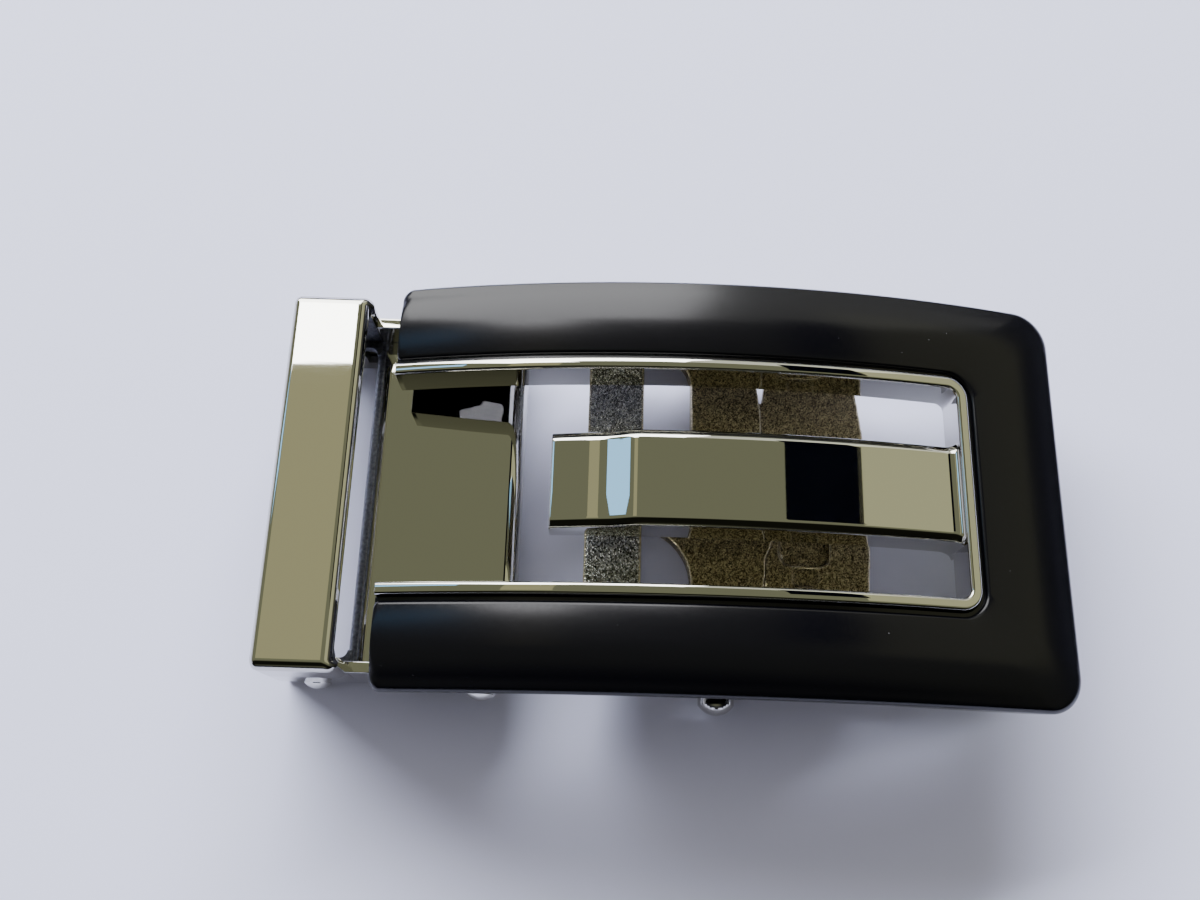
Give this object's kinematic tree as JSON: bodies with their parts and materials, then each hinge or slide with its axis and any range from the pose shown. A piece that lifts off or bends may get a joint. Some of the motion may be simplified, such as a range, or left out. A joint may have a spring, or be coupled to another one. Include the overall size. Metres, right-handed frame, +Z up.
{
  "type": "ratchet belt buckle",
  "caption": "Belt buckle for a flat strap: a strap clip with a keeper loop and clamp jaw, hinged to an arched open face with a bright centre tongue and a sprung pawl behind it.",
  "frame": {"origin": "middle of the buckle's box, on the surface that it lies on with its face up", "axes": "+X along the strap from the keeper loop to the face's closed end, +Y across the strap, +Z up out of the face"},
  "size_m": [0.0794, 0.0426, 0.0176],
  "materials": {
    "chrome_clip": "polished",
    "chrome_insert": "polished",
    "black_enamel": "matte",
    "blasted_nickel": "sand blasted",
    "blasted_nickel_lever": "sand blasted",
    "jaw_steel": "satin",
    "polished_steel": "polished"
  },
  "bodies": {
    "face": {"face_frame": "black_enamel", "face_insert": "chrome_insert", "back_bracket": "blasted_nickel", "pawl_pin": "polished_steel", "hinge_rivet_near": "polished_steel", "hinge_rivet_far": "polished_steel"},
    "clip": {"clip": "chrome_clip", "clamp_rivet_near": "polished_steel", "clamp_rivet_far": "polished_steel"},
    "jaw": {"clamp_jaw": "jaw_steel"},
    "pawl": {"pawl_lever": "blasted_nickel_lever"}
  },
  "joints": [
    {"name": "clip_hinge", "type": "hinge", "parent": "face", "child": "clip", "pos_m": [-0.01835, 0, 0.0083], "axis": [0, -1, 0], "range_deg": [-6, 25]},
    {"name": "jaw_hinge", "type": "hinge", "parent": "clip", "child": "jaw", "pos_m": [-0.0355, 0, 0.003], "axis": [0, 1, 0], "range_deg": [0, 75]},
    {"name": "pawl_pivot", "type": "hinge", "parent": "face", "child": "pawl", "pos_m": [0.0051, 0, 0.003], "axis": [0, -1, 0], "range_deg": [0, 12], "stiffness_Nm_per_rad": 0.03, "springref_deg": -17.19}
  ]
}
